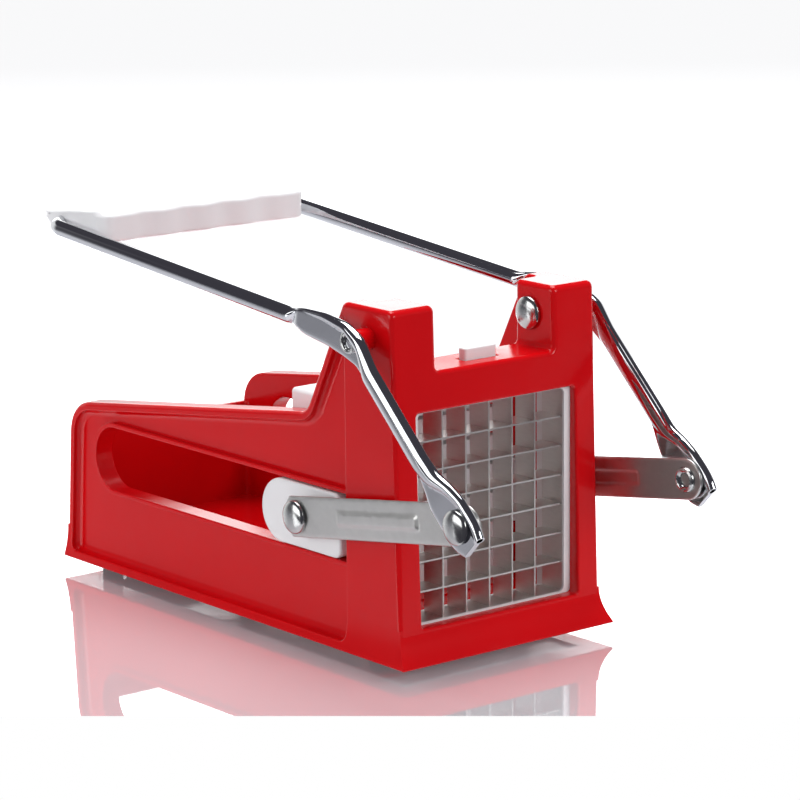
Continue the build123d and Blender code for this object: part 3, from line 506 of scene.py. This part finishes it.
# Stations down one leg, from the neck to the crank's nose: back edge and front edge as
# (Y from the front face, Z), then the flat's middle plane and half thickness, then the
# tube's depth behind the front edge, its half width, its half thickness and its middle.
LEG_STATIONS = np.array([
    (56.27, 119.25, 55.73, 125.23, 52.2, 0.20, 3.00, 3.00, 3.00, 52.2),
    (50.77, 118.76, 50.23, 124.73, 52.2, 0.20, 3.00, 3.00, 3.00, 52.2),
    (47.60, 119.00, 46.20, 125.20, 53.1, 1.15, 1.00, 0.90, 1.00, 53.1),
    (42.20, 116.50, 43.00, 125.60, 53.1, 1.20, 0.90, 0.80, 1.10, 53.1),
    (29.10, 114.30, 31.00, 125.60, 53.1, 1.20, 1.40, 1.40, 1.60, 53.2),
    (20.50, 111.90, 18.50, 124.00, 53.1, 1.20, 2.00, 2.00, 1.90, 53.5),
    (13.20, 109.40, 9.60, 119.60, 53.1, 1.20, 2.90, 2.90, 2.20, 53.9),
    (8.67, 105.34, 3.19, 111.04, 53.6, 0.60, 3.95, 3.95, 2.30, 54.2),
    (-18.73, 79.01, -24.21, 84.71, 53.6, 0.60, 3.95, 3.95, 2.30, 54.2),
    (-22.20, 72.97, -29.06, 80.11, 53.1, 1.00, 3.40, 3.40, 2.20, 53.9),
    (-25.59, 66.39, -35.77, 76.99, 53.1, 1.20, 2.30, 2.30, 1.95, 53.3),
    (-30.42, 61.75, -41.57, 73.36, 53.1, 1.20, 1.90, 1.90, 1.80, 53.0),
    (-35.40, 56.69, -46.83, 68.59, 53.1, 1.20, 1.90, 1.90, 1.80, 53.0),
    (-39.55, 54.37, -49.87, 65.11, 53.1, 1.20, 1.90, 1.90, 1.80, 53.0),
    (-43.52, 53.74, -51.42, 61.96, 53.1, 1.20, 1.90, 1.90, 1.80, 53.0),
])
LEG_STEP, LEG_SAMPLES = 0.8, 96         # between the rings down the leg, and round each
SOFTENING = 7               # samples in the window that rounds the stations' corners
TUBE_WALL = 0.6
HOLLOW_DEPTH = 6.0          # how far the open end is hollowed
FLAT_SQUARENESS = 10        # power of the flat's outline, like the link's


def run_along(points):
    """The distance of each point from the first, along the line through them all."""
    return np.concatenate([[0.0], np.cumsum(np.hypot(*np.diff(points, axis=0).T))])


def softened(rows, samples, **edges):
    """Rows averaged under a raised-cosine window of this many samples, which rounds every
    corner; edges says how the rows go on past both ends."""
    window = np.hanning(samples + 2)[1:-1]
    window /= window.sum()
    padded = np.pad(rows, ((samples // 2, samples // 2), (0, 0)), **edges)
    return np.stack([np.convolve(column, window, mode="valid") for column in padded.T], axis=1)


def leg_table():
    """The stations sampled evenly along the leg, straight between them, and softened."""
    run = run_along((LEG_STATIONS[:, 0:2] + LEG_STATIONS[:, 2:4]) / 2)
    steps = np.linspace(0, run[-1], int(run[-1] / LEG_STEP))
    rows = np.stack([np.interp(steps, run, column) for column in LEG_STATIONS.T], axis=1)
    return softened(rows, SOFTENING, mode="reflect", reflect_type="odd")


def leg_rings(hand):
    """Rings round the pressed tube: at each place across the leg the outer face is the
    larger of the flat's and the tube's, and the inner face the smaller. The last rings
    turn into the tube's open end."""
    rows = leg_table()
    back, front = rows[:, 0:2], rows[:, 2:4]
    flat_x, flat_half, depth, half_width, half_thick, tube_x = rows[:, 4:, None].transpose(1, 0, 2)
    width = np.hypot(*(front - back).T)[:, None]
    across, face = loop_across(LEG_SAMPLES)
    offset = width * (1 + across) / 2
    flat = flat_half * np.sqrt(1 - np.abs(across) ** FLAT_SQUARENESS)
    reach = (offset - (width - depth)) / half_width
    tube = half_thick * np.sqrt(np.clip(1 - reach**2, 0, 1))
    in_tube = np.abs(reach) < 1
    outer = np.where(in_tube, np.maximum(flat_x + flat, tube_x + tube), flat_x + flat)
    inner = np.where(in_tube, np.minimum(flat_x - flat, tube_x - tube), flat_x - flat)
    outwards = np.where(face > 0, outer, inner)
    along = (front - back) / width
    y = back[:, 0:1] + along[:, 0:1] * offset
    z = back[:, 1:2] + along[:, 1:2] * offset
    rings = np.stack([hand * outwards, y + FRONT, z], axis=-1)

    # The open end: the wall's inner edge, level with the end, and again further in.
    bore, rise = half_width[-1] - TUBE_WALL, half_thick[-1] - TUBE_WALL
    local = np.clip(offset[-1] - (width[-1] - depth[-1]), -bore, bore)
    bore_x = tube_x[-1] + face * rise * np.sqrt(np.clip(1 - (local / bore) ** 2, 0, 1))
    bore_offset = width[-1] - depth[-1] + local
    mouth = np.stack([
        hand * bore_x,
        back[-1, 0] + along[-1, 0] * bore_offset + FRONT,
        back[-1, 1] + along[-1, 1] * bore_offset,
    ], axis=-1)
    # Up the leg, from its last ring to one a little way in.
    inwards = (back[-9] + front[-9] - back[-1] - front[-1]) / 2
    inwards = HOLLOW_DEPTH * inwards / np.hypot(*inwards)
    return np.concatenate([rings, mouth[None], (mouth + np.array([0.0, *inwards]))[None]])


for side, hand in HANDS.items():
    skin(f"handle_leg_{side}", leg_rings(hand), chrome, "handle", "handle")

# The bow: two straight rods, two elbows and the cross rod, in one plane that climbs
# towards the rear, with x across it and s up its slope. Its circles stand square to the
# path.
elbow = np.linspace(0, math.pi / 2, 17)
near_x = np.concatenate([
    [ROD_X, ROD_X],
    ROD_X - ELBOW_RADIUS + ELBOW_RADIUS * np.cos(elbow[1:]),
])
near_s = np.concatenate([
    [0.0, CROSS_RUN - ELBOW_RADIUS],
    CROSS_RUN - ELBOW_RADIUS + ELBOW_RADIUS * np.sin(elbow[1:]),
])
bow = np.column_stack([np.append(-near_x, near_x[::-1]), np.append(near_s, near_s[::-1])])
heading = np.gradient(bow, axis=0)
heading[[0, 1]] = (0.0, 1.0)
heading[[-1, -2]] = (0.0, -1.0)
heading /= np.hypot(*heading.T)[:, None]
angle = np.linspace(0, 2 * math.pi, ROD_SEGMENTS, endpoint=False)
sideways = ROD_RADIUS * np.cos(angle)
bow_x = bow[:, 0:1] + heading[:, 1:2] * sideways
bow_s = bow[:, 1:2] - heading[:, 0:1] * sideways
lift = ROD_RADIUS * np.sin(angle)
bow_rings = np.stack([
    bow_x,
    NECK[0] + bow_s * math.cos(ROD_RISE) - lift * math.sin(ROD_RISE),
    NECK[1] + bow_s * math.sin(ROD_RISE) + lift * math.cos(ROD_RISE),
], axis=-1)
skin("handle_bow", bow_rings, chrome, "handle", "handle")

# ---------------------------------------------------------------- pivot rivets
# Nickel-plated tubular rivets through the towers: a domed head in the gap between them,
# and a shank that is rolled over to an open ring outside the handle.
LEG_FACE = 54.3             # outer face of the pressed flats
TOWER_INNER = 26.8          # face of the tower, in the gap between the two
for side, hand in HANDS.items():
    head = dome(TOWER_INNER, -1)[::-1]
    shank = [(TOWER_INNER, SHANK_RADIUS), (LEG_FACE + 0.05, SHANK_RADIUS), (LEG_FACE + 0.05, 3.9)]
    ring = [
        (LEG_FACE + 0.45, 4.1), (LEG_FACE + 0.9, 3.95), (LEG_FACE + 1.15, 3.5),
        (LEG_FACE + 1.15, 3.0), (LEG_FACE + 0.9, 2.6), (LEG_FACE + 0.4, 2.35),
        (LEG_FACE - 0.6, 2.2), (LEG_FACE - 5.0, 2.1), (LEG_FACE - 5.0, 0.0),
    ]
    rings = turned(head + shank + ring, PIVOT, hand)
    skin(f"pivot_rivet_{side}_rolled", rings, nickel, "base", f"pivot_rivet_{side}")

# ---------------------------------------------------------------- crank rivets
# Nickel-plated solid rivets; their domed heads sit on the pressed ends of the handle.
LEG_INNER = 51.9            # inner face of the pressed flats
for side, hand in HANDS.items():
    head = dome(LEG_FACE, 1)
    shank = [(LEG_INNER, 0.0), (LEG_INNER, SHANK_RADIUS), (LEG_FACE, SHANK_RADIUS)]
    rings = turned(shank + head, CRANK, hand)
    skin(f"crank_rivet_{side}_head", rings, nickel, "handle", f"crank_rivet_{side}")

# ---------------------------------------------------------------- grip
# A white ABS bar clipped over the cross rod from above: a wedge in section, with four
# shallow finger hollows along its blunt front edge and soft rounded ends.
GRIP_HALF = 47.5
GRIP_CORNER, GRIP_EDGE = 5.0, 1.2       # radius of the corners in plan, and inset at the ends
GROOVE_PITCH, GROOVE_DEPTH, GROOVE_REACH = 18.5, 1.9, 12.0     # reach: back along the section
GRIP_FRONT, GRIP_BACK = 171.0, 214.0
GRIP_STEP = 0.7             # between the rings along the grip
RIM_ROUND = 0.4             # more inset on the last ring, which rounds the end face's rim
grip_abs = plastic("white_grip_abs", "#F3F2F2", 0.30, 0.0003)
# The section as (Y from the front face, Z), going round from the front by the underside
# and the thin rear edge to the top.
GRIP_SECTION = np.array([
    (GRIP_FRONT, 136.0), (GRIP_FRONT, 131.5), (176.0, 130.2), (198.0, 131.0), (204.2, 131.25),
    (207.0, 131.4), (GRIP_BACK, 136.2), (GRIP_BACK, 139.4), (194.0, 141.7), (175.0, 143.1),
    (GRIP_FRONT, 141.0),
])


SECTION_STEP, SECTION_SOFTENING = 0.45, 5


def rounded(points):
    """A closed outline sampled evenly, straight between its points, and softened."""
    closed = np.vstack([points, points[:1]])
    run = run_along(closed)
    steps = np.linspace(0, run[-1], int(run[-1] / SECTION_STEP), endpoint=False)
    even = np.stack([np.interp(steps, run, column) for column in closed.T], axis=1)
    return softened(even, SECTION_SOFTENING, mode="wrap")


section = rounded(GRIP_SECTION)
# The section's normals, turned to point into the bar.
tangent = np.roll(section, -1, axis=0) - np.roll(section, 1, axis=0)
inward = np.column_stack([-tangent[:, 1], tangent[:, 0]]) / np.hypot(*tangent.T)[:, None]
if np.sum((section - section.mean(axis=0)) * inward) > 0:
    inward = -inward

# Stations along the bar crowd round its corners, and turn goes from 0 at the start of a
# corner to 1 at the end of the bar.
end_angle = np.linspace(0, math.pi / 2, 9)
end_x = np.append(GRIP_HALF - GRIP_CORNER + GRIP_CORNER * np.sin(end_angle), GRIP_HALF)
end_turn = np.append(1 - np.cos(end_angle), 1.0)
inner_x = np.arange(-GRIP_HALF + GRIP_CORNER + 0.5, GRIP_HALF - GRIP_CORNER - 0.4, GRIP_STEP)
grip_x = np.concatenate([-end_x[::-1], inner_x, end_x])
turn = np.concatenate([end_turn[::-1], 0 * inner_x, end_turn])
inset = GRIP_EDGE * turn
inset[[0, -1]] += RIM_ROUND

# The finger hollows are raised cosines, deepest at the front face.
hollow = GROOVE_DEPTH * (0.5 + 0.5 * np.cos(2 * math.pi * (grip_x / GROOVE_PITCH - 0.5)))
hollow *= ramp(np.abs(grip_x), 2 * GROOVE_PITCH, 0.5)
frontness = np.clip(1 - (section[:, 0] - GRIP_FRONT) / GROOVE_REACH, 0, 1) ** 1.5

# In plan the four corners are quarter circles, so towards an end the section closes up.
narrower = 1 - 2 * GRIP_CORNER * turn / (GRIP_BACK - GRIP_FRONT)
middle_y = (GRIP_FRONT + GRIP_BACK) / 2
grip_y = middle_y + (section[:, 0] - middle_y) * narrower[:, None]
grip_y = grip_y + inset[:, None] * inward[:, 0] + hollow[:, None] * frontness
grip_z = section[:, 1] + inset[:, None] * inward[:, 1]
grip_out = np.broadcast_to(grip_x[:, None], grip_y.shape)
grip_rings = np.stack([grip_out, grip_y + FRONT, grip_z], axis=-1)
skin("grip_bar", grip_rings, grip_abs, "handle", "grip")

bpy.context.scene.view_settings.view_transform = "Standard"
